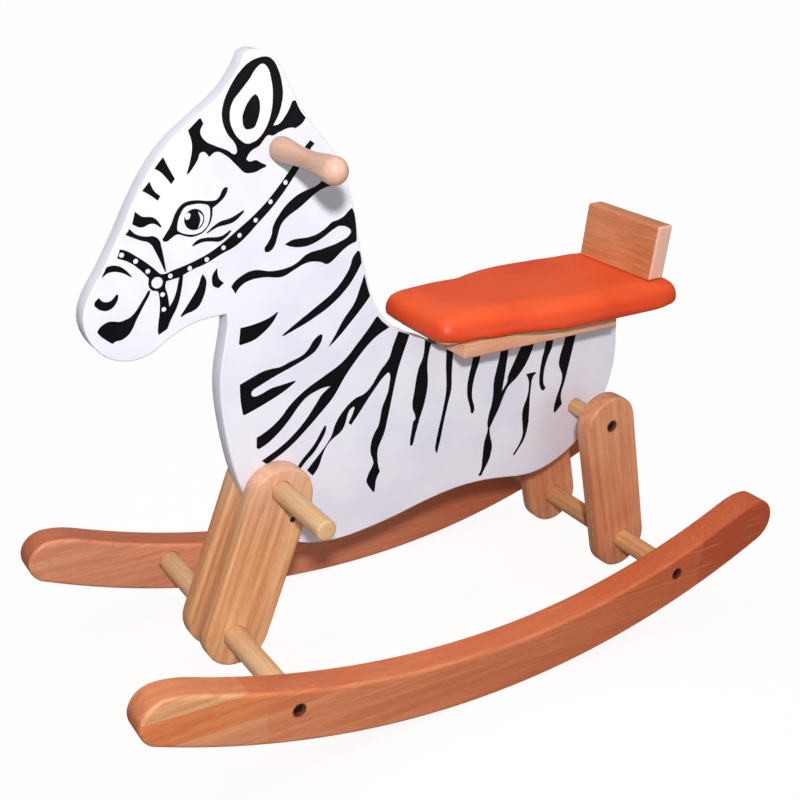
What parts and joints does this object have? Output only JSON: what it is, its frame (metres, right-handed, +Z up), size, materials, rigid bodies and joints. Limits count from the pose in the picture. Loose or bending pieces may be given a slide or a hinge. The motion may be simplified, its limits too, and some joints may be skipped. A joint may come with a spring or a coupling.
{
  "type": "rocking horse",
  "caption": "Toddler's wooden rocking horse: a flat zebra-painted board on legs and cross dowels between two curved rockers, with turned grips, a footrest dowel, a padded seat and a backrest.",
  "frame": {"origin": "on the floor, midway between the rockers' outer faces and midway between their tips", "axes": "+X forward, the way the animal faces; +Y to the animal's left; +Z up"},
  "size_m": [0.685, 0.28, 0.544],
  "materials": {
    "board_paint": "smooth satin white paint with black stripes",
    "rocker_wood": "reddish varnished wood, laminated bands",
    "leg_wood": "varnished wood",
    "dowel_wood": "pale lightly varnished wood",
    "grip_wood": "smooth varnished turned wood",
    "seat_wood": "lightly varnished wood",
    "backrest_wood": "varnished wood",
    "base_plywood": "plain plywood",
    "cushion_cover": "smooth semi-gloss orange imitation leather over foam",
    "screw_steel": "dull steel"
  },
  "bodies": {
    "root": {"zebra_board": "board_paint", "rocker_left": "rocker_wood", "rocker_right": "rocker_wood", "front_lower_dowel": "dowel_wood", "rear_lower_dowel": "dowel_wood", "front_rocker_screw_left": "screw_steel", "front_rocker_screw_right": "screw_steel", "rear_rocker_screw_left": "screw_steel", "rear_rocker_screw_right": "screw_steel", "front_leg_left": "leg_wood", "front_leg_right": "leg_wood", "front_leg_pin_left": "screw_steel", "front_leg_pin_right": "screw_steel", "footrest_dowel": "dowel_wood", "rear_leg_left": "leg_wood", "rear_leg_right": "leg_wood", "rear_leg_screw_left": "screw_steel", "rear_leg_screw_right": "screw_steel", "rear_upper_dowel": "dowel_wood", "handle_grip_left": "grip_wood", "handle_grip_right": "grip_wood", "handle_stud": "screw_steel", "seat_board": "seat_wood", "seat_board_screw_1": "screw_steel", "seat_board_screw_2": "screw_steel", "cushion_base": "base_plywood", "cushion_screw_1": "screw_steel", "cushion_screw_2": "screw_steel", "cushion_screw_3": "screw_steel", "cushion_screw_4": "screw_steel", "backrest_screw_1": "screw_steel", "backrest_screw_2": "screw_steel", "seat_cushion": "cushion_cover", "backrest": "backrest_wood"}
  },
  "joints": []
}
